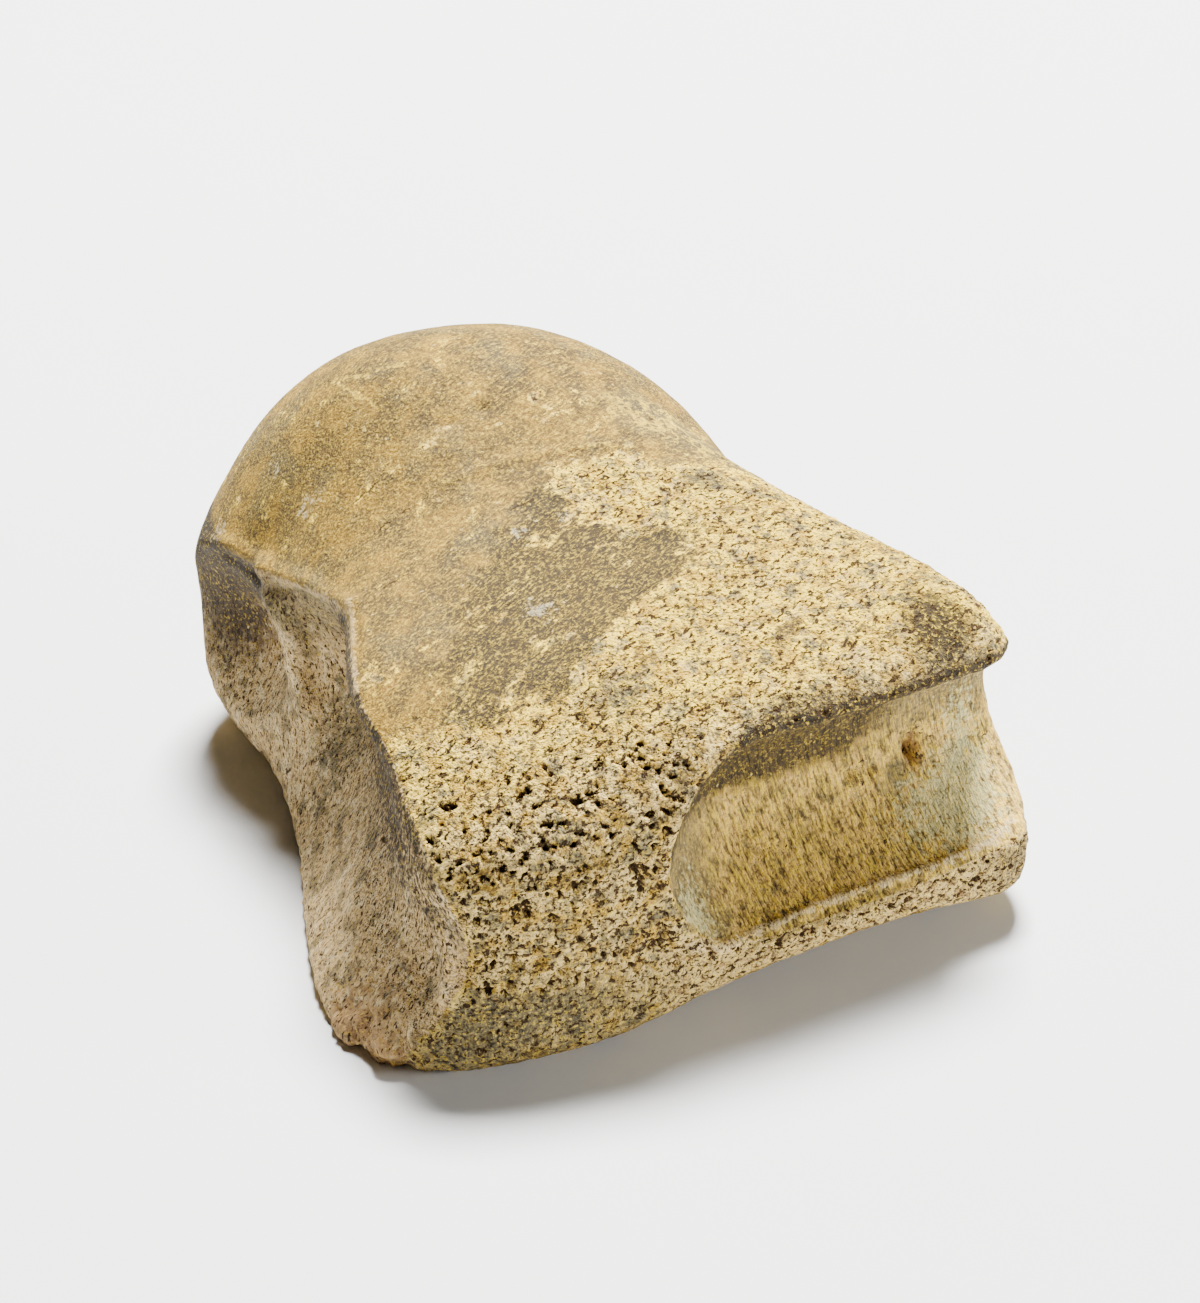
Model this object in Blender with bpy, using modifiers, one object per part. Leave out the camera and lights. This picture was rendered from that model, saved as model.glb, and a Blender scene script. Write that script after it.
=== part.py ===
"""A fossil toe bone of a large plant-eating dinosaur, at life size, lying on its flat underside.

The bone is a stout phalanx. Its near end is broad and holds a long cupped hollow under an overhanging
brow. Its far end is a high, round knuckle. The left side has a sharp crest over a hollowed flank with two
ligament pits, and the right side is drawn in to a waist.

The form is a block of six curved walls about a middle line, whose corners are rounded as a superellipse
is. Near 2 the corner is an ellipse's, and at 8 and more it is an edge. Metres, +Z up, +Y away from the cup.
"""

import bmesh
import bpy
import numpy as np

# Middle of the block: the near end starts to round at MIDDLE_Y[0] and the knuckle at MIDDLE_Y[1]
MIDDLE_Y = (-0.015, 0.012)
MIDDLE_Z = 0.024

# How square the walls meet, as superellipse powers: the flanks at the near end and at the knuckle, the
# flanks' feet at the same two places, and the near end's brow at its left and at its right
LEFT_SHARPNESS = (14, 5)
RIGHT_SHARPNESS = (7, 2.1)
SIDE_FOOT_SHARPNESS = (12, 4.4)
BROW_SHARPNESS = (2.3, 4)
NEAR_FOOT_SHARPNESS = 10
FAR_SHARPNESS = 3

# Where those powers change over: along the left flank, along the right, up both, and across the brow
LEFT_TURN_Y = (-0.006, 0.034)
RIGHT_TURN_Y = (-0.024, 0.020)
FLANK_TURN_Z = (0.008, 0.036)
BROW_TURN_X = (-0.020, 0.010)

# Lines along the bone, as (Y, X), with the left crest's height, and how far each flank draws in between its
# upper edge and its foot
LEFT_CREST_X = ((-0.050, -0.0420), (-0.020, -0.0410), (-0.004, -0.0380), (0.014, -0.0440), (0.040, -0.0523))
LEFT_FOOT_X = ((-0.046, -0.0530), (-0.020, -0.0515), (0.004, -0.0480), (0.020, -0.0475), (0.044, -0.0570))
LEFT_CREST_Z = 0.040
LEFT_HOLLOW = ((-0.042, 0.0030), (-0.028, 0.0062), (-0.012, 0.0048), (0.010, 0.0020), (0.044, -0.0016))
RIGHT_HOLLOW = ((-0.045, -0.0005), (-0.030, -0.0046), (-0.008, 0.0034))
SPINE_X = ((-0.030, 0.0040), (0.030, -0.0110))
RIGHT_BROW_X = ((-0.044, 0.0475), (-0.024, 0.0430), (0.002, 0.0337), (0.030, 0.0324))
RIGHT_FOOT_X = ((-0.044, 0.0484), (-0.024, 0.0450), (0.002, 0.0370), (0.030, 0.0360))

# Heights along the bone, as (Y, Z), and how far the top falls from its spine to its two sides
SPINE_Z = ((-0.050, 0.0460), (-0.020, 0.0480), (0.004, 0.0540), (0.032, 0.0650))
LEFT_FALL = ((-0.044, 0.0080), (-0.022, 0.0050), (-0.004, 0.0070), (0.011, 0.0170), (0.024, 0.0270))
RIGHT_FALL = ((-0.040, -0.0030), (-0.004, 0.0025), (0.024, 0.0030))

# The near end, as (X, Y) at the foot and at the brow
NEAR_FOOT_Y = ((-0.050, -0.0505), (-0.035, -0.0550), (-0.004, -0.0530), (0.022, -0.0500), (0.048, -0.0460))
NEAR_BROW_Y = ((-0.040, -0.0490), (-0.020, -0.0530), (0.010, -0.0510), (0.044, -0.0450))
BROW_Z = 0.042

# The far end: its reach, how far it curves back at its sides, and the shallow groove down its middle
FAR_Y = 0.061
FAR_BULGE = 0.009
FAR_HALF_WIDTH = 0.045
FAR_GROOVE = 0.0015
FAR_GROOVE_WIDTH = 0.012

# The cup: a trough with a round left end, open to the right, with its middle line as (X, Z), its radius as
# (X, radius) and an edge that is eased, not cut
CUP_LEFT_X = 0.0075
CUP_Z = ((0.000, 0.0250), (0.040, 0.0264))
CUP_RADIUS = ((0.000, 0.0150), (0.040, 0.0138))
CUP_DEPTH = 0.0150
CUP_EDGE = 0.04

# Hollows in the flanks and the underside, as (middle 1, middle 2, reach 1, reach 2, depth)
LEFT_DEEP_PIT = (0.029, 0.023, 0.015, 0.014, 0.0080)
LEFT_SHALLOW_PIT = (0.004, 0.028, 0.012, 0.014, 0.0040)
LEFT_CORNER_HOLLOW = (-0.052, 0.012, 0.026, 0.016, 0.0060)
RIGHT_PIT = (0.030, 0.028, 0.015, 0.015, 0.0045)
UNDER_HOLLOW = (-0.002, 0.000, 0.047, 0.050, 0.0045)
LIP_ARCH = (0.022, -0.050, 0.036, 0.032, 0.0062)

# How far the underside sinks below the floor, where it is taken off flat, all along and, more, under the
# knuckle, which it reaches over a length in Y, and the floor's block
REST_SINK = 0.0010
KNUCKLE_SINK = 0.0022
KNUCKLE_REST_Y = (0.010, 0.036)
FLOOR_BLOCK = 0.3

# The fine faces that settle on the form, the share of them that stays, and the buff of the fossil bone
FACE_SIZE = 0.0010
FACES_KEPT = 0.115
BUFF = (0.47, 0.36, 0.21, 1)


def through(points, at):
    """The smooth curve through a few (place, value) points, level beyond its ends."""
    place, value = np.array(points).T
    slope = np.gradient(value, place)
    slope[0] = slope[-1] = 0
    at = np.clip(at, place[0], place[-1])
    span = np.clip(np.searchsorted(place, at) - 1, 0, len(place) - 2)
    width = place[span + 1] - place[span]
    t = (at - place[span]) / width
    rise = t * t * (3 - 2 * t)
    start, end = slope[span] * width, slope[span + 1] * width
    bend = t * (1 - t) * ((1 - t) * start - t * end)
    return value[span] * (1 - rise) + value[span + 1] * rise + bend


def ease(low, high, at):
    """A smooth step from 0 at low to 1 at high."""
    t = np.clip((at - low) / (high - low), 0, 1)
    return t * t * (3 - 2 * t)


def dent(place, u, v):
    """The depth of an oval, round-bottomed hollow at u, v."""
    middle_u, middle_v, reach_u, reach_v, depth = place
    apart = ((u - middle_u) / reach_u) ** 2 + ((v - middle_v) / reach_v) ** 2
    return depth * np.clip(1 - apart, 0, None) ** 1.3


def belly(z, top):
    """How much a flank is drawn in at z, from 0 at its foot and its crest to 1 between them."""
    up = np.clip(z / top, 0, 1)
    return 4 * up * (1 - up)


def undercut(z, top):
    """How much a flank is drawn in under a crest that overhangs it, most at two thirds of its height."""
    up = np.clip(z / top, 0, 1)
    return 6.75 * up**2 * (1 - up)


def flare(z, top):
    """How much a flank follows its foot at z, from 1 on the floor to 0 most of the way up to its crest."""
    return np.clip(1 - z / (0.7 * top), 0, 1) ** 2


def part_way(value, middle, low, high):
    """How far a value has gone from the middle towards its low or its high limit, which are 1."""
    return np.where(value < middle, (middle - value) / (middle - low), (value - middle) / (high - middle))


def rounded(a, b, sharpness):
    """Two part-way values joined as a superellipse, 1 on its outline."""
    return (np.abs(a) ** sharpness + np.abs(b) ** sharpness) ** (1 / sharpness)


def top_z(x, y):
    """The upper surface, arched across and rising to the knuckle."""
    spine_x = through(SPINE_X, y)
    left = np.clip((spine_x - x) / (spine_x - through(LEFT_CREST_X, y)), 0, 1.2)
    right = np.clip((x - spine_x) / (through(RIGHT_BROW_X, y) - spine_x), 0, 1.2)
    return through(SPINE_Z, y) - through(LEFT_FALL, y) * left**2.4 - through(RIGHT_FALL, y) * right**2


def under_z(x, y):
    """The underside, hollowed between its rests and arched under the cup's lip."""
    sink = REST_SINK + KNUCKLE_SINK * ease(*KNUCKLE_REST_Y, y)
    return dent(UNDER_HOLLOW, x, y) + dent(LIP_ARCH, x, y) - sink


def left_x(y, z):
    """The left flank: hollow under its crest, run out to the foot, with two ligament pits."""
    crest_x, foot_x = through(LEFT_CREST_X, y), through(LEFT_FOOT_X, y)
    wall = crest_x + (foot_x - crest_x) * flare(z, LEFT_CREST_Z)
    wall = wall + through(LEFT_HOLLOW, y) * undercut(z, LEFT_CREST_Z)
    return wall + dent(LEFT_DEEP_PIT, y, z) + dent(LEFT_SHALLOW_PIT, y, z) + dent(LEFT_CORNER_HOLLOW, y, z)


def right_x(y, z):
    """The right flank, drawn in to a waist, with one shallow ligament pit."""
    brow_x, foot_x = through(RIGHT_BROW_X, y), through(RIGHT_FOOT_X, y)
    waist = through(RIGHT_HOLLOW, y) * belly(z, BROW_Z)
    return brow_x + (foot_x - brow_x) * flare(z, BROW_Z) - waist - dent(RIGHT_PIT, y, z)


def near_y(x, z):
    """The near end, with the cup sunk into its right part."""
    up = np.clip(z / BROW_Z, 0, 1)
    face = through(NEAR_FOOT_Y, x) * (1 - up) + through(NEAR_BROW_Y, x) * up
    before = np.clip(CUP_LEFT_X - x, 0, None)
    across = np.hypot(before, z - through(CUP_Z, x)) / through(CUP_RADIUS, x)
    sunk = 1 - across**2.6
    return face + CUP_DEPTH * (sunk + np.hypot(sunk, CUP_EDGE)) / 2


def far_y(x, y):
    """The knuckle's far face: a bulge with a shallow groove down its middle."""
    off_middle = x - through(SPINE_X, y)
    across = np.clip(off_middle / FAR_HALF_WIDTH, -1.2, 1.2)
    groove = FAR_GROOVE * np.exp(-((off_middle / FAR_GROOVE_WIDTH) ** 2))
    return FAR_Y - FAR_BULGE * across**2 - groove


def blend(ends, share):
    """A value that goes from the first of two ends to the second."""
    return ends[0] + (ends[1] - ends[0]) * share


def side_sharpness(x, y, z):
    """How square the flanks meet the top, the ends and the underside."""
    left = blend(LEFT_SHARPNESS, ease(*LEFT_TURN_Y, y))
    right = blend(RIGHT_SHARPNESS, ease(*RIGHT_TURN_Y, y))
    upper = np.where(x < through(SPINE_X, y), left, right)
    lower = blend(SIDE_FOOT_SHARPNESS, ease(*LEFT_TURN_Y, y))
    return blend((lower, upper), ease(*FLANK_TURN_Z, z))


def end_sharpness(x, y, z):
    """How square the ends meet the top and the underside."""
    brow = blend(BROW_SHARPNESS, ease(*BROW_TURN_X, x))
    near = np.where(z > MIDDLE_Z, brow, NEAR_FOOT_SHARPNESS)
    return np.where(y < 0, near, FAR_SHARPNESS)


def bone_field(points):
    """Under 1 inside the bone and over 1 outside it."""
    x, y, z = points.T
    side = part_way(x, through(SPINE_X, y), left_x(y, z), right_x(y, z))
    height = part_way(z, MIDDLE_Z, under_z(x, y), top_z(x, y))
    before = np.clip((MIDDLE_Y[0] - y) / (MIDDLE_Y[0] - near_y(x, z)), 0, None)
    beyond = np.clip((y - MIDDLE_Y[1]) / (far_y(x, y) - MIDDLE_Y[1]), 0, None)
    profile = rounded(height, before + beyond, end_sharpness(x, y, z))
    return rounded(profile, side, side_sharpness(x, y, z))


def on_rays(directions, centre, reach=0.12, halvings=24):
    """The points where rays from the centre leave the bone."""
    inside = np.zeros(len(directions))
    outside = np.full(len(directions), reach)
    for _ in range(halvings):
        middle = (inside + outside) / 2
        within = bone_field(centre + directions * middle[:, None]) < 1
        inside, outside = np.where(within, middle, inside), np.where(within, outside, middle)
    return centre + directions * inside[:, None]


def settled(points, steps=3, nudge=0.00002):
    """Points near the surface, moved straight onto it."""
    for _ in range(steps):
        level = bone_field(points) - 1
        rise = [bone_field(points + offset) - bone_field(points - offset) for offset in nudge * np.eye(3)]
        slope = np.stack(rise, 1) / (2 * nudge)
        points = points - slope * (level / (slope**2).sum(1))[:, None]
    return points


def fossil_bone_finish():
    """Buff, matt fossil bone."""
    material = bpy.data.materials.new("fossil_bone")
    material.use_nodes = True
    shader = material.node_tree.nodes["Principled BSDF"]
    shader.inputs["Base Color"].default_value = BUFF
    shader.inputs["Roughness"].default_value = 0.75
    shader.inputs["Metallic"].default_value = 0
    material.diffuse_color = BUFF
    return material


def floor_cutter():
    """A block whose top is the floor, which takes off what sinks below it."""
    bpy.ops.mesh.primitive_cube_add(size=FLOOR_BLOCK, location=(0, 0, -FLOOR_BLOCK / 2))
    cutter = bpy.context.object
    cutter.name = "floor_cutter"
    cutters = bpy.data.collections.new("cutters")
    bpy.context.scene.collection.children.link(cutters)
    for collection in list(cutter.users_collection):
        collection.objects.unlink(cutter)
    cutters.objects.link(cutter)
    cutter.hide_render = True
    cutter.display_type = "WIRE"
    return cutter


def ball_on_form():
    """A fine sphere whose points are drawn out to the bone's surface."""
    ball = bmesh.new()
    bmesh.ops.create_icosphere(ball, subdivisions=7, radius=1)
    directions = np.array([vertex.co.normalized() for vertex in ball.verts])
    for vertex, place in zip(ball.verts, on_rays(directions, np.array((0, 0, MIDDLE_Z)))):
        vertex.co = place
    mesh = bpy.data.meshes.new("ball_on_form")
    ball.to_mesh(mesh)
    ball.free()
    return mesh


def toe_bone(collection):
    """The whole bone, one closed body: even faces settled on the form, centred, thinned and cut flat."""
    rough = bpy.data.objects.new("rough_bone", ball_on_form())
    collection.objects.link(rough)
    even = rough.modifiers.new("even_faces", "REMESH")
    even.mode = "VOXEL"
    even.voxel_size = FACE_SIZE
    evaluated = rough.evaluated_get(bpy.context.evaluated_depsgraph_get())
    mesh = bpy.data.meshes.new_from_object(evaluated)
    bpy.data.objects.remove(rough)
    points = settled(np.array([vertex.co for vertex in mesh.vertices]))
    points[:, :2] -= (points.min(0) + points.max(0))[:2] / 2
    for vertex, place in zip(mesh.vertices, points):
        vertex.co = place
    bone = bpy.data.objects.new("toe_bone", mesh)
    collection.objects.link(bone)
    thin = bone.modifiers.new("thin_faces", "DECIMATE")
    thin.ratio = FACES_KEPT
    rest = bone.modifiers.new("flat_rests", "BOOLEAN")
    rest.operation = "DIFFERENCE"
    rest.solver = "EXACT"
    rest.object = floor_cutter()
    mesh.materials.append(fossil_bone_finish())
    mesh.shade_smooth()
    return bone


def main():
    for old in list(bpy.data.objects):
        bpy.data.objects.remove(old)
    collection = bpy.data.collections.new("fossil_toe_bone")
    bpy.context.scene.collection.children.link(collection)
    toe_bone(collection)


main()
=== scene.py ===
import math

import bmesh
import bpy
import numpy as np
from mathutils import Matrix, Vector


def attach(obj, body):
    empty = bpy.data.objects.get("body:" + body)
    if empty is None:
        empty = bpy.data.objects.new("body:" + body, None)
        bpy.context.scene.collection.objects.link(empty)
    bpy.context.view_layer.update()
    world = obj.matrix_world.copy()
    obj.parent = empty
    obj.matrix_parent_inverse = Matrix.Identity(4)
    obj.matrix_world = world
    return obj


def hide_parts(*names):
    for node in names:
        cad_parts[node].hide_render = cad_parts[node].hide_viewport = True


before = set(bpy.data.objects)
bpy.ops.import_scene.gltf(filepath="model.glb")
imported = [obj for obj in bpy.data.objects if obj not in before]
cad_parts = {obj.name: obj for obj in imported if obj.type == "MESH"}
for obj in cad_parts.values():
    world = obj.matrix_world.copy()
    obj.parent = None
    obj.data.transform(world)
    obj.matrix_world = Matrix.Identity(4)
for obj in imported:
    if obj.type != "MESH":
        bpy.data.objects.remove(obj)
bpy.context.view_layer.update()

# The view.
# The bone is seen as on a museum table: from its cupped end, a little to the left, 31 degrees down and
# from a third of a metre away, through a short telephoto lens.
EYE = Vector((-0.08616, -0.29576, 0.20964))
TURN, DOWN, TIP = 16.5, 30.88, 1.12
LENS, SENSOR = 69.07, 36
turned_right = Matrix.Rotation(math.radians(-TURN), 4, "Z")
looking_down = Matrix.Rotation(math.radians(90 - DOWN), 4, "X")
tipped = Matrix.Rotation(math.radians(-TIP), 4, "Z")
view = bpy.data.cameras.new("view")
view.sensor_width = SENSOR
view.lens = LENS
view.clip_start = 0.01
viewer = bpy.data.objects.new("view", view)
viewer.matrix_world = Matrix.Translation(EYE) @ turned_right @ looking_down @ tipped
bpy.context.scene.collection.objects.link(viewer)
bpy.context.scene.camera = viewer

# The bone's skin.
# The whole fossil is one piece of mineralised bone. Its skin is drawn over the plain solid in fine, even
# faces, and keeps the solid's outline.
SKIN_FACE = 0.00042
SMOOTHINGS = 14
MOST_FACES = 190000


def plain_copy(thing, name):
    """The mesh that an object shows with its modifiers, as a new object of its own without them."""
    evaluated = thing.evaluated_get(bpy.context.evaluated_depsgraph_get())
    mesh = bpy.data.meshes.new_from_object(evaluated)
    mesh.name = name
    copy = bpy.data.objects.new(name, mesh)
    bpy.context.scene.collection.objects.link(copy)
    bpy.data.objects.remove(thing)
    return copy


solid = bmesh.new()
solid.from_mesh(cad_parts["toe_bone"].data)
bmesh.ops.remove_doubles(solid, verts=solid.verts[:], dist=0.00001)
blank_mesh = bpy.data.meshes.new("blank")
solid.to_mesh(blank_mesh)
solid.free()
blank = bpy.data.objects.new("blank", blank_mesh)
bpy.context.scene.collection.objects.link(blank)
softened = blank.modifiers.new("softened", "SUBSURF")
softened.levels = softened.render_levels = 1
drawn = blank.modifiers.new("drawn", "REMESH")
drawn.mode = "VOXEL"
drawn.voxel_size = SKIN_FACE
evened = blank.modifiers.new("evened", "SMOOTH")
evened.factor = 0.5
evened.iterations = SMOOTHINGS
skin = plain_copy(blank, "skin")

count = len(skin.data.vertices)
place = np.empty(count * 3)
facing = np.empty(count * 3)
skin.data.vertices.foreach_get("co", place)
skin.data.vertex_normals.foreach_get("vector", facing)
place = place.reshape(-1, 3)
facing = facing.reshape(-1, 3)

# The bone's ridges and pits.
# Where ligaments held on, the crest and the left flank have ropy ridges and slits, and vessels went in
# through small holes. Each is raised or sunk along the skin's own direction.
ROPE = ((-0.0492, 0.0341, 0.0345), (-0.0459, 0.0252, 0.0379), (-0.0432, 0.0183, 0.0382),
        (-0.0412, 0.0109, 0.0394), (-0.0387, 0.0048, 0.0411), (-0.0371, -0.0014, 0.0421),
        (-0.0354, -0.0086, 0.0443))
ROPE_GROOVE = ((-0.0468, 0.0270, 0.0350), (-0.0431, 0.0160, 0.0360), (-0.0402, 0.0060, 0.0385),
               (-0.0378, -0.0010, 0.0400))
OUTER_STRAND = ((-0.0354, -0.0086, 0.0443), (-0.0369, -0.0170, 0.0430), (-0.0386, -0.0255, 0.0412))
INNER_STRAND = ((-0.0345, -0.0080, 0.0452), (-0.0350, -0.0150, 0.0447), (-0.0372, -0.0225, 0.0430))
PIT_WALL = ((-0.0428, 0.0160, 0.0374), (-0.0410, 0.0114, 0.0322), (-0.0406, 0.0112, 0.0246),
            (-0.0396, 0.0085, 0.0195))
CORNER_SEAM = ((-0.0378, -0.0400, 0.0310), (-0.0368, -0.0460, 0.0262),
               (-0.0352, -0.0500, 0.0212), (-0.0342, -0.0519, 0.0170), (-0.0349, -0.0531, 0.0116))
SEAM_HOLLOW = ((-0.0385, -0.0330, 0.0300), (-0.0382, -0.0400, 0.0240), (-0.0375, -0.0450, 0.0190),
               (-0.0372, -0.0490, 0.0140))
LIP_EDGE = ((-0.0038, -0.0554, 0.0141), (0.0005, -0.0549, 0.0119), (0.0071, -0.0518, 0.0112),
            (0.0206, -0.0495, 0.0124), (0.0325, -0.0483, 0.0130), (0.0414, -0.0463, 0.0133),
            (0.0464, -0.0433, 0.0140))
SADDLE_FOLD = ((-0.0188, 0.0044, 0.0536), (-0.0124, 0.0050, 0.0550), (-0.0042, 0.0054, 0.0555),
               (0.0022, 0.0055, 0.0553), (0.0079, 0.0054, 0.0548))
RIDGES = ((ROPE, 0.0009, 0.0012), (ROPE_GROOVE, -0.0007, 0.0010), (OUTER_STRAND, 0.0004, 0.0006),
          (INNER_STRAND, 0.0002, 0.0006), (PIT_WALL, 0.0017, 0.0022),
          (CORNER_SEAM, 0.0012, 0.0013), (SEAM_HOLLOW, -0.0011, 0.0034), (LIP_EDGE, 0.0005, 0.0008),
          (SADDLE_FOLD, 0.0003, 0.0009))
HOLES = (((0.0351, -0.0347, 0.0228), (0.0010, 0.0016, 0.0018), 0.0026),
         ((0.0253, -0.0368, 0.0221), (0.0008, 0.0012, 0.0008), 0.0008),
         ((0.0284, -0.0363, 0.0219), (0.0007, 0.0012, 0.0008), 0.0007),
         ((0.0401, -0.0331, 0.0292), (0.0007, 0.0010, 0.0008), 0.0006),
         ((-0.0094, 0.0263, 0.0641), (0.0013, 0.0011, 0.0012), 0.0005),
         ((-0.0109, 0.0136, 0.0595), (0.0012, 0.0009, 0.0012), 0.0005),
         ((-0.0160, 0.0127, 0.0585), (0.0011, 0.0009, 0.0012), 0.0004),
         ((-0.0150, 0.0334, 0.0630), (0.0008, 0.0008, 0.0010), 0.0004),
         ((-0.0330, -0.0530, 0.0140), (0.0011, 0.0014, 0.0022), 0.0012),
         ((-0.0305, -0.0545, 0.0105), (0.0013, 0.0014, 0.0010), 0.0011),
         ((-0.0240, -0.0560, 0.0170), (0.0016, 0.0014, 0.0011), 0.0013),
         ((-0.0215, -0.0560, 0.0145), (0.0011, 0.0014, 0.0012), 0.0012))


def off_line(points, line):
    """How far points are from a line of straight stretches."""
    nearest = np.full(len(points), np.inf)
    for start, end in zip(np.array(line[:-1]), np.array(line[1:])):
        along = np.clip((points - start) @ (end - start) / ((end - start) @ (end - start)), 0, 1)
        nearest = np.minimum(nearest, np.linalg.norm(points - start - along[:, None] * (end - start), axis=1))
    return nearest


def spot(points, middle, reach):
    """A soft, round spot, 1 in its middle."""
    return np.exp(-(((points - middle) / reach) ** 2).sum(1))


raised = np.zeros(count)
for line, height, width in RIDGES:
    raised += height * np.exp(-((off_line(place, line) / width) ** 2))
for middle, reach, depth in HOLES:
    raised -= depth * spot(place, middle, reach)

# The bone's zones.
# Wear and minerals changed the bone from place to place. Worn cortex shows cream, open pores on the brow
# and the near end. The knuckle, saddle and cup keep a denser skin, and stains lie in some hollows. Painted
# shade darkens the cup under the brow and at its left end, the brow's front, the deep pit on the left flank
# and the flank under the crest.
CREAM_OUTLINE = ((-0.060, -0.0340), (-0.0328, -0.0350), (-0.0246, -0.0370), (-0.0197, -0.0376),
                 (-0.0148, -0.0367), (-0.0071, -0.0295), (-0.0007, -0.0255), (0.0069, -0.0211),
                 (0.0122, -0.0181), (0.0112, -0.0147), (0.0024, -0.0121), (-0.0005, -0.0084),
                 (-0.0044, -0.0048), (-0.0039, 0.0020), (0.0053, 0.0029), (0.0124, 0.0003),
                 (0.0206, 0.0012), (0.0290, 0.0040), (0.060, 0.0060), (0.060, -0.080), (-0.060, -0.080))
PATINA_OUTLINE = ((-0.0044, -0.0048), (0.0024, -0.0121), (0.0130, -0.0160), (0.0069, -0.0205),
                  (-0.0071, -0.0285), (-0.0148, -0.0360), (-0.0246, -0.0365), (-0.0180, -0.0200))


def ramp(low, high, value):
    """A smooth step from 0 at low to 1 at high."""
    t = np.clip((value - low) / (high - low), 0, 1)
    return t * t * (3 - 2 * t)


def depth_within(points, outline):
    """How far points lie inside an outline seen from above, and less than 0 outside it."""
    corners = np.array(outline)
    inside = np.zeros(len(points), bool)
    for (x0, y0), (x1, y1) in zip(corners, np.roll(corners, -1, 0)):
        crossed = (y0 > points[:, 1]) != (y1 > points[:, 1])
        at_x = x0 + (points[:, 1] - y0) * (x1 - x0) / (y1 - y0 + 1e-12)
        inside ^= crossed & (points[:, 0] < at_x)
    away = off_line(points[:, :2], np.vstack((corners, corners[:1])))
    return np.where(inside, away, -away)


x, y, z = place.T
to_left, to_near, to_top = -facing[:, 0], -facing[:, 1], facing[:, 2]
cup_radius = np.interp(x, (0.001, 0.041), (0.0150, 0.0138))
cup_middle = np.interp(x, (0.001, 0.041), (0.0250, 0.0264))
cup_across = np.hypot(np.clip(0.00855 - x, 0, None), z - cup_middle) / cup_radius
in_cup = ramp(1.02, 0.95, cup_across) * ramp(-0.026, -0.030, y) * ramp(-0.2, 0.0, to_near)
crest_z = np.interp(y, (-0.005, 0.020), (0.0430, 0.0370))
on_flank = ramp(0.50, 0.75, to_left) * ramp(0.0018, -0.0018, z - crest_z) * ramp(0.050, 0.040, y)
under = ramp(-0.35, -0.7, to_top)
right_side = ramp(0.4, 0.8, facing[:, 0])
dense = np.clip(in_cup + on_flank, 0, 1)
cream = ramp(-0.0040, 0.0040, depth_within(place, CREAM_OUTLINE)) * (1 - dense) * (1 - 0.6 * under)
cream *= 1 - 0.5 * right_side * ramp(-0.03, -0.01, y)
near_face = ramp(0.25, 0.75, to_near) * (1 - dense)
buttress = near_face * ramp(0.003, -0.010, x)
coarse = cream * np.clip(0.85 * buttress * ramp(0.010, 0.020, z) + 0.55 * ramp(-0.036, -0.050, y)
                         + 0.25 * buttress, 0, 1)
low_face = buttress * ramp(0.018, 0.010, z)
on_lip = (ramp(0.016, 0.013, z) * ramp(-0.012, -0.004, x) * ramp(-0.020, -0.035, y)
          * (1 - in_cup) * (1 - under))
lip_end = on_lip * ramp(0.036, 0.046, x)
patina = ramp(-0.0130, 0.0010, depth_within(place, PATINA_OUTLINE)) * (1 - on_flank)
broken = np.clip(spot(place, (-0.0445, -0.0465, 0.000), (0.009, 0.0085, 0.0055)) * 1.8, 0, 1)
flank_rim = on_flank * ramp(0.016, 0.006, z)
# The deep pit on the left flank and its roof, which the shaded zone darkens with painted shade.
deep_pit_shade = on_flank * spot(place, (-0.0464, 0.0345, 0.0240), (0.02, 0.0110, 0.0120))
pit_roof_shade = on_flank * ramp(0.026, 0.033, z) * ramp(0.012, 0.020, y)
rough_pit = on_flank * spot(place, (-0.0375, 0.0060, 0.0310), (0.02, 0.0090, 0.0090))
near_flank = on_flank * ramp(-0.012, -0.028, y)
# Painted shade on the near part of the left flank, under the crest.
flank_shade_under_crest = (on_flank * ramp(0.004, -0.012, y) * ramp(0.010, 0.027, z)
              * (0.55 + 0.45 * ramp(-0.052, -0.036, y)))
flank_streak = on_flank * spot(place, (-0.0370, 0.0000, 0.0190), (0.02, 0.0085, 0.0150))
rust = np.clip(0.9 * broken + 0.9 * on_flank * spot(place, (-0.046, 0.0300, 0.0215), (0.02, 0.007, 0.006))
               + 0.40 * near_flank * spot(place, (-0.042, -0.044, 0.010), (0.02, 0.010, 0.006))
               + 0.8 * in_cup * spot(place, (0.0351, -0.0347, 0.0228), (0.0022, 0.01, 0.0028)), 0, 1)
moss = np.clip(0.65 * flank_streak
               + 0.75 * low_face * spot(place, (-0.024, -0.057, 0.010), (0.014, 0.02, 0.008))
               + 0.9 * spot(place, (0.0165, -0.0028, 0.0516), (0.0048, 0.0034, 0.01))
               + 0.6 * spot(place, (-0.035, -0.0560, 0.0040), (0.007, 0.01, 0.005))
               + 0.8 * spot(place, (-0.0080, -0.0400, 0.0430), (0.0055, 0.0040, 0.006))
               + 0.7 * in_cup * spot(place, (0.0320, -0.036, 0.0200), (0.004, 0.02, 0.004))
               + 0.5 * in_cup * spot(place, (-0.0040, -0.050, 0.0280), (0.004, 0.02, 0.008)), 0, 1)
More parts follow.
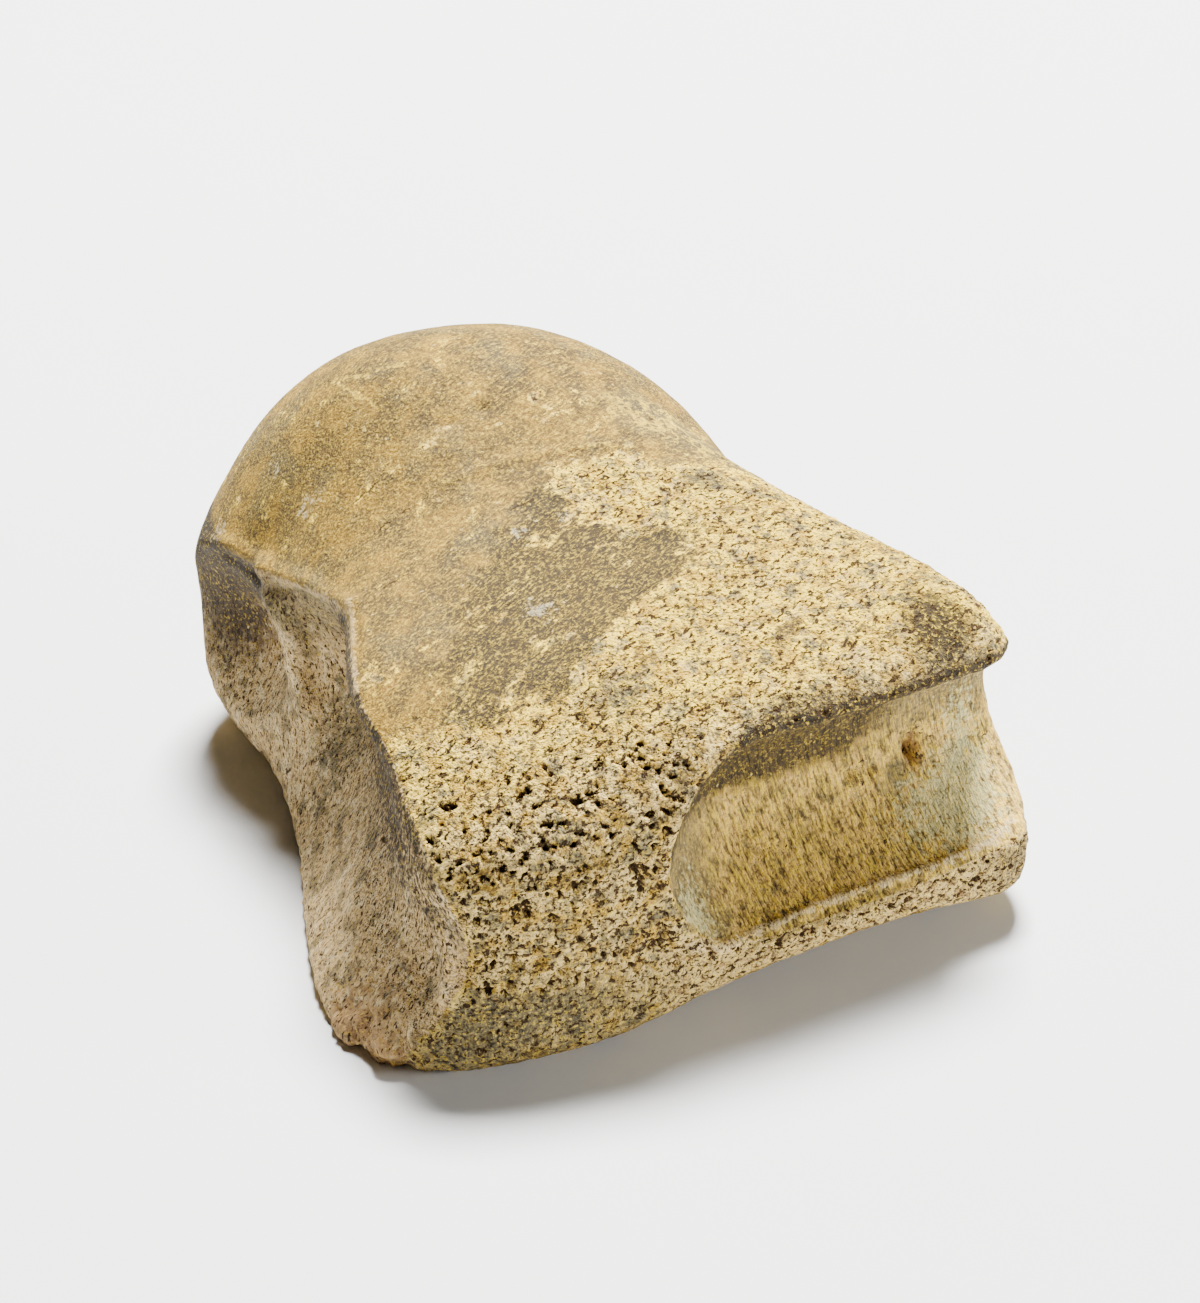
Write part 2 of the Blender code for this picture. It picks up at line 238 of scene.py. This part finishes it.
# Painted shade: the cup under the brow, its roof and upper rim, the brow's front, and the deep pit on the
# left flank and its roof.
shaded = np.clip(1.1 * in_cup * ramp(0.0215, 0.0300, z) * ramp(0.038, 0.020, x)
                 + 0.95 * pit_roof_shade + 0.80 * deep_pit_shade
                 + 0.9 * in_cup * ramp(0.0345, 0.0375, z)
                 + 0.9 * ramp(1.12, 1.03, cup_across) * ramp(0.030, 0.034, z) * ramp(-0.035, -0.042, y)
                 * ramp(0.000, 0.006, x)
                 + 0.85 * spot(place, (0.0355, -0.0400, 0.0450), (0.0055, 0.008, 0.005))
                 + 0.60 * (1 - in_cup) * ramp(-0.043, -0.049, y) * ramp(0.036, 0.040, z)
                 * ramp(0.002, 0.012, x), 0, 1)
pale_green = in_cup * np.clip(spot(place, (0.0385, -0.040, 0.0165), (0.009, 0.02, 0.0045))
                              + 0.9 * spot(place, (-0.0030, -0.052, 0.0150), (0.0045, 0.02, 0.0060))
                              + 0.8 * spot(place, (0.043, -0.033, 0.024), (0.004, 0.02, 0.008)), 0, 1)
net = np.clip(spot(place, (0.0130, 0.0125, 0.055), (0.0095, 0.0065, 0.02))
              + spot(place, (0.0240, 0.0050, 0.050), (0.0080, 0.0080, 0.02)), 0, 1) * (1 - on_flank)
lip_line = np.exp(-((off_line(place, LIP_EDGE) / 0.0009) ** 2))
strands = np.exp(-((off_line(place, OUTER_STRAND) / 0.0009) ** 2))
chalk = np.zeros(count)
for middle, reach in (((-0.0370, 0.0156, 0.0466), 0.0016), ((-0.0391, 0.0250, 0.0489), 0.0013),
                      ((-0.0470, 0.0304, 0.0381), 0.0022), ((-0.0138, -0.0228, 0.0473), 0.0026),
                      ((-0.0118, -0.0078, 0.0509), 0.0016), ((-0.0054, -0.0069, 0.0515), 0.0014),
                      ((-0.0345, 0.0160, 0.0480), 0.0022)):
    chalk += spot(place, middle, reach)
# Painted shade in the cup: greyer and darker at its left end and high up at its right.
cup_painted_shade = in_cup * np.clip(ramp(0.0060, -0.0010, x) + ramp(0.024, 0.030, z) * ramp(0.022, 0.034, x), 0, 1)
crest_side = on_flank * ramp(0.027, 0.035, z) * ramp(-0.012, 0.000, y)
ZONES = {"cream": cream, "coarse": coarse, "near_face": near_face, "in_cup": in_cup, "on_lip": on_lip,
         "lip_end": lip_end, "lip_line": lip_line, "on_flank": on_flank, "patina": patina, "broken": broken,
         "rust": rust, "moss": moss, "shaded": shaded, "pale_green": pale_green,
         "chalk": np.clip(chalk, 0, 1),
         "rough_pit": rough_pit, "flank_rim": flank_rim, "net": net, "strands": strands,
         "low_face": low_face, "flank_shade_under_crest": flank_shade_under_crest, "cup_painted_shade": cup_painted_shade, "crest_side": crest_side}
place = place + facing * raised[:, None]
skin.data.vertices.foreach_set("co", place.ravel())
for name, share in ZONES.items():
    skin.data.attributes.new(name, "FLOAT", "POINT").data.foreach_set("value", share.astype(np.float32))

# The bone's pores and grain.
# Spongy bone shows as ragged pits between cream plates, coarse on the near end and drawn out on the brow.
# Each coarse pit is sunk into the skin, and the same pattern then darkens it in the finish, partly with the
# pores' own dark colour and partly with painted shade. Sizes of patterns are in millimetres.
COARSE_PORE = 1.25
FINE_PORE = 0.60
GRAIN = (0.84, 0.55, 0.0)


def plug(tree, socket, value):
    """Joins a node's input to another node's output, or sets it to a number or colour."""
    if isinstance(value, bpy.types.NodeSocket):
        tree.links.new(value, socket)
    else:
        socket.default_value = value


def number(tree, operation, *values, clamp=False):
    """One sum on numbers."""
    node = tree.nodes.new("ShaderNodeMath")
    node.operation = operation
    node.use_clamp = clamp
    for socket, value in zip(node.inputs, values):
        plug(tree, socket, value)
    return node.outputs[0]


def vector(tree, operation, *values):
    """One sum on vectors."""
    node = tree.nodes.new("ShaderNodeVectorMath")
    node.operation = operation
    for socket, value in zip(node.inputs, values):
        plug(tree, socket, value)
    return node.outputs["Value" if operation in ("DOT_PRODUCT", "DISTANCE") else "Vector"]


def scaled(tree, a, by):
    """A vector times a number."""
    node = tree.nodes.new("ShaderNodeVectorMath")
    node.operation = "SCALE"
    plug(tree, node.inputs[0], a)
    plug(tree, node.inputs["Scale"], by)
    return node.outputs["Vector"]


def step(tree, value, low, high):
    """A smooth step from 0 at low to 1 at high, on nodes."""
    node = tree.nodes.new("ShaderNodeMapRange")
    node.interpolation_type = "SMOOTHSTEP"
    for socket, setting in zip(node.inputs, (value, low, high, 0.0, 1.0)):
        plug(tree, socket, setting)
    return node.outputs[0]


def cloud(tree, at, size, detail=2.0, roughness=0.5, tint=False):
    """Soft, random light and dark, of a size in millimetres."""
    node = tree.nodes.new("ShaderNodeTexNoise")
    plug(tree, node.inputs["Vector"], at)
    node.inputs["Scale"].default_value = 1 / size
    node.inputs["Detail"].default_value = detail
    node.inputs["Roughness"].default_value = roughness
    return node.outputs[1] if tint else node.outputs[0]


def drawn_out(tree, at, along, stretch):
    """Places pressed together along a direction, so that a pattern read there is drawn out along it."""
    onto = vector(tree, "DOT_PRODUCT", at, along)
    return vector(tree, "ADD", at, scaled(tree, along, number(tree, "MULTIPLY", onto, 1 / stretch - 1)))


def holes(tree, at, size, share, least=0.12, more=0.26):
    """Ragged holes in cells of a size in millimetres, 1 at their bottoms, in a share of the cells."""
    jitter = vector(tree, "SUBTRACT", cloud(tree, at, 0.30 * size, 2.0, 0.65, tint=True), (0.5, 0.5, 0.5))
    cells = tree.nodes.new("ShaderNodeTexVoronoi")
    shifted = vector(tree, "ADD", at, scaled(tree, jitter, 5.0 * (least + more / 2) * size))
    plug(tree, cells.inputs["Vector"], shifted)
    cells.inputs["Scale"].default_value = 1 / size
    pick = tree.nodes.new("ShaderNodeSeparateXYZ")
    tree.links.new(cells.outputs["Color"], pick.inputs[0])
    chosen = number(tree, "LESS_THAN", pick.outputs[0], share)
    radius = number(tree, "MULTIPLY_ADD", pick.outputs[1], more, least)
    hollow = step(tree, cells.outputs["Distance"], radius, number(tree, "MULTIPLY", radius, 0.45))
    return number(tree, "MULTIPLY", hollow, chosen)


def sponge(tree, at, size, amount, most=0.40):
    """Ragged pits between plates, 1 at their bottoms, which cover more where there is a larger amount."""
    level = number(tree, "MULTIPLY_ADD", amount, most - 0.14, 0.14)
    return step(tree, cloud(tree, at, size, 3.0, 0.6), level, number(tree, "SUBTRACT", level, 0.07))


def deep_pits(tree, at, zone):
    """The pits cut into the skin: coarse on the near end, drawn out along the lip, and a few everywhere."""
    ragged_pits = sponge(tree, at, COARSE_PORE, zone("coarse"), 0.425)
    share = number(tree, "MULTIPLY", zone("coarse"), 0.70)
    cells = holes(tree, at, 2.3, share)
    lip_pits = sponge(tree, drawn_out(tree, at, (1.0, 0.0, 0.0), 1.6), 0.95, zone("on_lip"), 0.43)
    deepest = number(tree, "MAXIMUM", number(tree, "MAXIMUM", ragged_pits, cells), lip_pits)
    return number(tree, "MAXIMUM", deepest, holes(tree, at, 6.5, 0.45, 0.03, 0.08))


wear = bpy.data.node_groups.new("bone_wear", "GeometryNodeTree")
WEAR_SIZES = {"Swell": 0.22, "Lumps": 0.10, "Pit Depth": 0.62, "Plate Relief": 0.22, "Break Depth": 1.1}
wear.interface.new_socket("Geometry", in_out="INPUT", socket_type="NodeSocketGeometry")
identifiers = {}
for name, value in WEAR_SIZES.items():
    socket = wear.interface.new_socket(name, in_out="INPUT", socket_type="NodeSocketFloat")
    identifiers[name] = socket.identifier
finish_socket = wear.interface.new_socket("Finish", in_out="INPUT", socket_type="NodeSocketMaterial")
wear.interface.new_socket("Geometry", in_out="OUTPUT", socket_type="NodeSocketGeometry")
given = wear.nodes.new("NodeGroupInput")
result = wear.nodes.new("NodeGroupOutput")
at = scaled(wear, wear.nodes.new("GeometryNodeInputPosition").outputs[0], 1000.0)


def wear_zone(name):
    """A zone's share in the wear tree."""
    node = wear.nodes.new("GeometryNodeInputNamedAttribute")
    node.data_type = "FLOAT"
    node.inputs["Name"].default_value = name
    return node.outputs[0]


pitted = deep_pits(wear, at, wear_zone)
CLOUDS = ((9.0, 1.0), (2.2, 2.0), (1.1, 3.0), (3.2, 4.0))
swell, lump, plate, chip = (number(wear, "SUBTRACT", cloud(wear, at, size, detail), 0.5)
                            for size, detail in CLOUDS)
lumpy = number(wear, "MULTIPLY_ADD", wear_zone("cream"), 0.5, 0.2)
for name, more in (("rough_pit", 1.2), ("flank_rim", 1.3), ("in_cup", 0.5)):
    lumpy = number(wear, "MULTIPLY_ADD", wear_zone(name), more, lumpy)
plated = number(wear, "ADD", wear_zone("on_lip"), wear_zone("rough_pit"))
plated = number(wear, "ADD", wear_zone("cream"), plated)
rise = number(wear, "MULTIPLY", swell, number(wear, "MULTIPLY", given.outputs["Swell"], 2.0))
for noise, share, size, gain in ((lump, lumpy, "Lumps", 8.0), (plate, plated, "Plate Relief", 2.0),
                                 (chip, wear_zone("broken"), "Break Depth", 4.0)):
    amount = number(wear, "MULTIPLY", share, number(wear, "MULTIPLY", given.outputs[size], gain))
    rise = number(wear, "MULTIPLY_ADD", noise, amount, rise)
deeper = number(wear, "MULTIPLY_ADD", wear_zone("coarse"), 0.8, 0.5)
pit_depth = number(wear, "MULTIPLY", given.outputs["Pit Depth"], deeper)
rise = number(wear, "SUBTRACT", rise, number(wear, "MULTIPLY", pitted, pit_depth))
keep_place = wear.nodes.new("GeometryNodeStoreNamedAttribute")
keep_place.data_type = "FLOAT_VECTOR"
keep_place.domain = "POINT"
keep_place.inputs["Name"].default_value = "unworn"
wear.links.new(given.outputs["Geometry"], keep_place.inputs["Geometry"])
plug(wear, keep_place.inputs["Value"], at)
worn = wear.nodes.new("GeometryNodeSetPosition")
wear.links.new(keep_place.outputs["Geometry"], worn.inputs["Geometry"])
outwards = wear.nodes.new("GeometryNodeInputNormal").outputs[0]
plug(wear, worn.inputs["Offset"], scaled(wear, outwards, number(wear, "MULTIPLY", rise, 0.001)))
whole = wear.nodes.new("GeometryNodeRealizeInstances")
wear.links.new(worn.outputs["Geometry"], whole.inputs["Geometry"])
finished = wear.nodes.new("GeometryNodeSetMaterial")
wear.links.new(whole.outputs["Geometry"], finished.inputs["Geometry"])
plug(wear, finished.inputs["Material"], given.outputs["Finish"])
wear.links.new(finished.outputs["Geometry"], result.inputs["Geometry"])

# The bone's finish.
# Mineralised bone is matt. It is buff and ochre where its dense skin is left, cream where the pores are
# open, and grey-brown, rusty or green-grey where iron and other minerals stained it. Painted shade darkens
# the cup under the brow and at its left end, the brow's front, the deep pit and the flank under the crest,
# and partly the pits. The fine cracks and pale scratches are lines between places in millimetres.
TAN = (0.128, 0.082, 0.028, 1)
HONEY = (0.268, 0.156, 0.027, 1)
GREYED = (0.128, 0.104, 0.054, 1)
PATINA = (0.050, 0.036, 0.018, 1)
CREAM = (0.960, 0.650, 0.060, 1)
CREAM_TINT = (0.430, 0.250, 0.030, 1)
PINKISH = (0.600, 0.420, 0.150, 1)
FACE_CREAM = (0.740, 0.530, 0.190, 1)
OLIVE = (0.112, 0.098, 0.056, 1)
BLUE_GREY = (0.150, 0.136, 0.080, 1)
# The pits' own dark colour, which also stands for painted shade in them; the darker one also fills the
# cracks.
PORE_EDGE_AND_SHADE = (0.090, 0.045, 0.014, 1)
HOLLOW_DARK_AND_SHADE = (0.032, 0.017, 0.007, 1)
RUST = (0.290, 0.158, 0.064, 1)
OCHRE = (0.660, 0.420, 0.110, 1)
CUP_TAN = (0.340, 0.230, 0.060, 1)
FLANK_TAN = (0.610, 0.410, 0.180, 1)
FLANK_PALE = (0.740, 0.560, 0.290, 1)
PALE_GREEN = (0.640, 0.610, 0.300, 1)
# Painted shade in the cup, on the brow's front, in the flank's deep pit and under the crest; also the dark of
# the grain, fibres and speckle.
DARK_GRAIN_AND_SHADE = (0.026, 0.020, 0.014, 1)
CHALK = (0.560, 0.500, 0.330, 1)
CRACKS = (((-31.2, -9.2, 46.7), (-27.4, -8.9, 48.0)), ((-12.2, -3.5, 52.0), (-8.3, -2.6, 52.6)),
          ((-29.6, 2.5, 48.6), (-24.6, 3.3, 51.2)), ((-31.2, 9.1, 49.9), (-27.0, 9.6, 52.9)))
SCRATCHES = (((-28.6, 28.5, 59.6), (-26.8, 23.4, 59.7)), ((-26.8, 23.4, 59.7), (-24.7, 19.8, 59.2)),
             ((-28.9, 29.8, 59.3), (-24.7, 25.8, 61.4)), ((-24.7, 25.8, 61.4), (-18.9, 24.6, 63.1)),
             ((-18.8, 4.4, 53.6), (-12.4, 5.0, 55.0)), ((-12.4, 5.0, 55.0), (2.2, 5.5, 55.3)),
             ((2.2, 5.5, 55.3), (7.9, 5.4, 54.8)))

finish = bpy.data.materials.new("fossil_bone_surface")
finish.use_nodes = True
paint = finish.node_tree
shader = paint.nodes["Principled BSDF"]


def painted_zone(name):
    """A zone's share in the finish."""
    node = paint.nodes.new("ShaderNodeAttribute")
    node.attribute_name = name
    return node.outputs["Fac"]


def tinted(share, first, second, strength=1.0):
    """One colour laid over another."""
    node = paint.nodes.new("ShaderNodeMix")
    node.data_type = "RGBA"
    plug(paint, node.inputs[0], share if strength == 1.0 else number(paint, "MULTIPLY", share, strength))
    plug(paint, node.inputs[6], first)
    plug(paint, node.inputs[7], second)
    return node.outputs[2]


def patches(at, size, low, high):
    """Patches of a size in millimetres, from none at low to full at high."""
    return step(paint, cloud(paint, at, size, 3.0, 0.62), low, high)


def ragged(share, size, wander, low=0.42, high=0.58):
    """A zone's share with a ragged edge."""
    drift = number(paint, "SUBTRACT", cloud(paint, spot_at, size, 3.0, 0.65), 0.5)
    return step(paint, number(paint, "MULTIPLY_ADD", drift, wander, share), low, high)


def gap_to(lines, sway):
    """How far the surface is, in millimetres, from wandering lines."""
    drift = vector(paint, "SUBTRACT", cloud(paint, spot_at, 1.3, 2.0, 0.6, tint=True), (0.5, 0.5, 0.5))
    wandered = vector(paint, "ADD", spot_at, scaled(paint, drift, sway))
    gap = 10.0
    for start, end in lines:
        start, end = Vector(start), Vector(end)
        reach = (end - start).length
        out = vector(paint, "SUBTRACT", wandered, tuple(start))
        onto = vector(paint, "DOT_PRODUCT", out, tuple((end - start) / reach))
        along = number(paint, "DIVIDE", onto, reach, clamp=True)
        nearest = scaled(paint, tuple(end - start), along)
        gap = number(paint, "MINIMUM", gap, vector(paint, "DISTANCE", out, nearest))
    return gap


unworn = paint.nodes.new("ShaderNodeAttribute")
unworn.attribute_name = "unworn"
spot_at = unworn.outputs["Vector"]
grained_at = drawn_out(paint, spot_at, GRAIN, 4.0)
upright_at = drawn_out(paint, drawn_out(paint, spot_at, (0.0, 0.24, 0.97), 2.2), (1.0, 0.0, 0.0), 1.6)
fibre_at = drawn_out(paint, drawn_out(paint, spot_at, (-0.24, 0.0, 0.97), 4.5), (0.0, 1.0, 0.0), 4.0)
speckle = cloud(paint, spot_at, 0.50, 2.0, 0.7)
fine_speckle = cloud(paint, spot_at, 0.22, 1.0, 0.6)
streaks = cloud(paint, grained_at, 0.28, 2.0, 0.68)
fibres = cloud(paint, fibre_at, 0.50, 2.0, 0.62)
upright = cloud(paint, upright_at, 0.34, 2.0, 0.68)
broad = cloud(paint, spot_at, 5.0, 4.0, 0.62)

colour = tinted(step(paint, broad, 0.42, 0.60), TAN, HONEY)
colour = tinted(patches(spot_at, 9.0, 0.48, 0.66), colour, GREYED, 0.58)
colour = tinted(patches(spot_at, 2.2, 0.52, 0.66), colour, PATINA, 0.32)
colour = tinted(ragged(painted_zone("patina"), 3.5, 1.6, 0.35, 0.75), colour, PATINA, 0.88)
colour = tinted(step(paint, streaks, 0.52, 0.66), colour, CREAM, 0.30)
colour = tinted(step(paint, streaks, 0.47, 0.34), colour, DARK_GRAIN_AND_SHADE, 0.45)
veins = paint.nodes.new("ShaderNodeTexVoronoi")
veins.feature = "DISTANCE_TO_EDGE"
vein_drift = vector(paint, "SUBTRACT", cloud(paint, spot_at, 1.6, 2.0, 0.6, tint=True), (0.5, 0.5, 0.5))
vein_at = vector(paint, "ADD", drawn_out(paint, spot_at, GRAIN, 1.8), scaled(paint, vein_drift, 3.0))
plug(paint, veins.inputs["Vector"], vein_at)
veins.inputs["Scale"].default_value = 1 / 3.0
net_colour = tinted(step(paint, veins.outputs["Distance"], 0.09, 0.02), OLIVE, CREAM)
colour = tinted(ragged(painted_zone("net"), 2.5, 1.4, 0.35, 0.80), colour, net_colour, 0.40)

edge_fray = cloud(paint, drawn_out(paint, spot_at, GRAIN, 2.2), 1.5, 5.0, 0.8)
edge_sway = cloud(paint, drawn_out(paint, spot_at, GRAIN, 1.5), 5.0, 3.0, 0.6)
edge_drift = number(paint, "MULTIPLY_ADD", number(paint, "SUBTRACT", edge_sway, 0.5), 0.9,
                    number(paint, "SUBTRACT", edge_fray, 0.5))
cream_share = step(paint, number(paint, "MULTIPLY_ADD", edge_drift, 3.0, painted_zone("cream")), 0.36, 0.64)
near_face = painted_zone("near_face")
plate_colour = tinted(near_face, CREAM, FACE_CREAM)
plate_colour = tinted(patches(spot_at, 2.6, 0.46, 0.57), plate_colour, CREAM_TINT, 0.85)
plate_colour = tinted(patches(spot_at, 2.4, 0.54, 0.62), plate_colour, PINKISH, 0.7)
plate_colour = tinted(patches(spot_at, 1.5, 0.535, 0.60), plate_colour, OLIVE, 0.62)
plate_colour = tinted(patches(spot_at, 3.6, 0.56, 0.63), plate_colour, BLUE_GREY, 0.75)
colour = tinted(cream_share, colour, plate_colour)

flank_colour = tinted(patches(upright_at, 1.4, 0.45, 0.66), FLANK_TAN, FLANK_PALE)
flank_colour = tinted(patches(spot_at, 4.0, 0.52, 0.62), flank_colour, GREYED, 0.7)
flank_colour = tinted(painted_zone("crest_side"), flank_colour, GREYED, 0.75)
flank_colour = tinted(step(paint, upright, 0.48, 0.38), flank_colour, DARK_GRAIN_AND_SHADE, 0.60)
upright_drift = number(paint, "SUBTRACT", upright, 0.5)
# The painted shade under the crest is broken into upright streaks.
streaked_flank_shade = number(paint, "MULTIPLY_ADD", upright_drift, -2.6, painted_zone("flank_shade_under_crest"))
flank_colour = tinted(step(paint, streaked_flank_shade, 0.05, 0.85), flank_colour, DARK_GRAIN_AND_SHADE, 0.92)
colour = tinted(ragged(painted_zone("on_flank"), 1.2, 0.8, 0.40, 0.60), colour, flank_colour)

cup_colour = tinted(patches(spot_at, 2.6, 0.42, 0.60), OCHRE, CUP_TAN)
cup_colour = tinted(patches(spot_at, 1.4, 0.56, 0.64), cup_colour, BLUE_GREY, 0.5)
cup_colour = tinted(step(paint, fibres, 0.51, 0.60), cup_colour, CREAM, 0.55)
cup_colour = tinted(step(paint, fibres, 0.46, 0.36), cup_colour, DARK_GRAIN_AND_SHADE, 0.66)
# Painted shade: the cup's left end and upper right turn greyer and darker.
cup_colour = tinted(painted_zone("cup_painted_shade"), cup_colour, GREYED, 0.75)
colour = tinted(step(paint, painted_zone("in_cup"), 0.35, 0.65), colour, cup_colour)

lip_colour = tinted(patches(spot_at, 1.8, 0.45, 0.58), FACE_CREAM, PINKISH, 0.7)
lip_at = drawn_out(paint, spot_at, (1.0, 0.0, 0.0), 1.8)
lip_colour = tinted(patches(lip_at, 0.9, 0.54, 0.62), lip_colour, RUST, 0.75)
lip_colour = tinted(painted_zone("lip_end"), lip_colour, GREYED, 0.65)
colour = tinted(ragged(painted_zone("on_lip"), 1.6, 0.5), colour, lip_colour)
# The shaded zone here lays painted shade; the other zones are stains and pale marks.
for name, tint, strength, wander, low, high in (
        ("low_face", OLIVE, 0.38, 3.0, 0.50, 1.10), ("moss", OLIVE, 0.80, 1.6, 0.30, 0.75),
        ("rust", RUST, 0.70, 2.4, 0.35, 0.80), ("pale_green", PALE_GREEN, 0.60, 2.4, 0.35, 0.95),
        ("shaded", DARK_GRAIN_AND_SHADE, 0.92, 0.9, 0.12, 0.70), ("lip_line", FLANK_PALE, 0.7, 3.0, 0.50, 0.95),
        ("strands", FLANK_PALE, 0.35, 2.0, 0.45, 0.95), ("chalk", CHALK, 0.45, 4.0, 0.60, 1.30)):
    colour = tinted(ragged(painted_zone(name), 1.0, wander, low, high), colour, tint, strength)
colour = tinted(step(paint, gap_to(SCRATCHES, 2.4), 0.42, 0.16), colour, CREAM, 0.40)
speckled = number(paint, "MULTIPLY_ADD", cream_share, 0.45, 0.38)
colour = tinted(number(paint, "MULTIPLY", step(paint, speckle, 0.48, 0.37), speckled), colour, DARK_GRAIN_AND_SHADE)
colour = tinted(number(paint, "MULTIPLY", step(paint, speckle, 0.54, 0.66), speckled), colour, CREAM, 0.65)

pit_depths = deep_pits(paint, spot_at, painted_zone)
pores_at = drawn_out(paint, spot_at, GRAIN, 1.9)
flank_pits = sponge(paint, upright_at, 0.45, painted_zone("on_flank"), 0.42)
fine_pits = number(paint, "MAXIMUM", sponge(paint, pores_at, FINE_PORE, cream_share, 0.45), flank_pits)
sunk_pits = sponge(paint, pores_at, FINE_PORE, painted_zone("cream"), 0.45)
sunk_pits = number(paint, "MAXIMUM", sunk_pits, flank_pits)
# The pits are darkened partly by their own dark colour and partly with painted shade.
colour = tinted(step(paint, fine_pits, 0.02, 0.65), colour, PORE_EDGE_AND_SHADE, 0.75)
colour = tinted(step(paint, fine_pits, 0.35, 0.90), colour, HOLLOW_DARK_AND_SHADE, 0.88)
colour = tinted(step(paint, pit_depths, 0.02, 0.45), colour, PORE_EDGE_AND_SHADE, 0.85)
colour = tinted(step(paint, pit_depths, 0.40, 1.00), colour, HOLLOW_DARK_AND_SHADE, 0.85)
cracked = step(paint, gap_to(CRACKS, 1.6), 0.26, 0.10)
colour = tinted(cracked, colour, HOLLOW_DARK_AND_SHADE, 0.85)
plug(paint, shader.inputs["Base Color"], colour)
plug(paint, shader.inputs["Roughness"], number(paint, "MULTIPLY_ADD", speckle, 0.25, 0.64))
shader.inputs["Specular IOR Level"].default_value = 0.10

coarseness = number(paint, "MULTIPLY_ADD", painted_zone("cream"), 0.55, 0.25)
height = number(paint, "MULTIPLY", number(paint, "SUBTRACT", speckle, 0.5), coarseness)
for texture, share, gain in ((fine_speckle, 1.0, 0.10), (streaks, 1.0, 0.16),
                             (fibres, painted_zone("in_cup"), 0.80),
                             (upright, painted_zone("on_flank"), 0.42)):
    amount = number(paint, "MULTIPLY", share, gain)
    height = number(paint, "MULTIPLY_ADD", number(paint, "SUBTRACT", texture, 0.5), amount, height)
height = number(paint, "SUBTRACT", height, number(paint, "MULTIPLY", sunk_pits, 0.30))
relief = paint.nodes.new("ShaderNodeBump")
relief.inputs["Distance"].default_value = 0.001
plug(paint, relief.inputs["Height"], height)
paint.links.new(relief.outputs["Normal"], shader.inputs["Normal"])

worn_skin = skin.modifiers.new("wear", "NODES")
worn_skin.node_group = wear
for name, value in WEAR_SIZES.items():
    worn_skin[identifiers[name]] = value
worn_skin[finish_socket.identifier] = finish
thinned = skin.modifiers.new("thinned", "DECIMATE")
thinned.ratio = min(1.0, MOST_FACES / (2 * len(skin.data.polygons)))
bone = plain_copy(skin, "fossil_bone")
settled = np.empty(len(bone.data.vertices) * 3)
bone.data.vertices.foreach_get("co", settled)
settled[2::3] = np.clip(settled[2::3], 0, None)
bone.data.vertices.foreach_set("co", settled)
bone.data.shade_smooth()
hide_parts("toe_bone")
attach(bone, "root")

# The floor and the light.
# A plain pale floor under one large soft light from behind, above and to the right, with a weak one low on
# the right and faint light all round. The room behind the floor shows as a pale wall.
FLOOR_REACH = 1.5
FLOOR_COLOUR = (0.80, 0.80, 0.79, 1)
LIGHTS = (("key", (0.300, 0.560, 1.430), 0.45, 155.0), ("side", (0.60, -0.42, 0.17), 0.22, 6.0))
LIT_MIDDLE = Vector((0, 0, 0.02))
ROOM_COLOUR, ROOM_STRENGTH = (1, 0.99, 0.97, 1), 0.025
WALL_COLOUR, WALL_STRENGTH = (1, 1, 1, 1), 2.6
floor_mesh = bpy.data.meshes.new("floor")
sheet = bmesh.new()
bmesh.ops.create_grid(sheet, x_segments=1, y_segments=1, size=FLOOR_REACH)
sheet.to_mesh(floor_mesh)
sheet.free()
floor = bpy.data.objects.new("floor", floor_mesh)
bpy.context.scene.collection.objects.link(floor)
pale = bpy.data.materials.new("pale_floor")
pale.use_nodes = True
pale.node_tree.nodes["Principled BSDF"].inputs["Base Color"].default_value = FLOOR_COLOUR
pale.node_tree.nodes["Principled BSDF"].inputs["Roughness"].default_value = 0.6
pale.node_tree.nodes["Principled BSDF"].inputs["Specular IOR Level"].default_value = 0.0
floor_mesh.materials.append(pale)

for name, lamp_place, size, power in LIGHTS:
    lamp = bpy.data.lights.new(name, "AREA")
    lamp.energy = power
    lamp.size = size
    light = bpy.data.objects.new(name, lamp)
    light.location = lamp_place
    light.rotation_euler = (LIT_MIDDLE - Vector(lamp_place)).to_track_quat("-Z", "Y").to_euler()
    bpy.context.scene.collection.objects.link(light)
room = bpy.data.worlds.new("room")
room.use_nodes = True
air = room.node_tree
dim = air.nodes["Background"]
pale_wall = air.nodes.new("ShaderNodeBackground")
for background, tint, strength in ((dim, ROOM_COLOUR, ROOM_STRENGTH),
                                   (pale_wall, WALL_COLOUR, WALL_STRENGTH)):
    background.inputs["Color"].default_value = tint
    background.inputs["Strength"].default_value = strength
seen = air.nodes.new("ShaderNodeLightPath")
either = air.nodes.new("ShaderNodeMixShader")
for output, socket in ((seen.outputs["Is Camera Ray"], either.inputs[0]), (dim.outputs[0], either.inputs[1]),
                       (pale_wall.outputs[0], either.inputs[2]),
                       (either.outputs[0], air.nodes["World Output"].inputs["Surface"])):
    air.links.new(output, socket)
bpy.context.scene.world = room
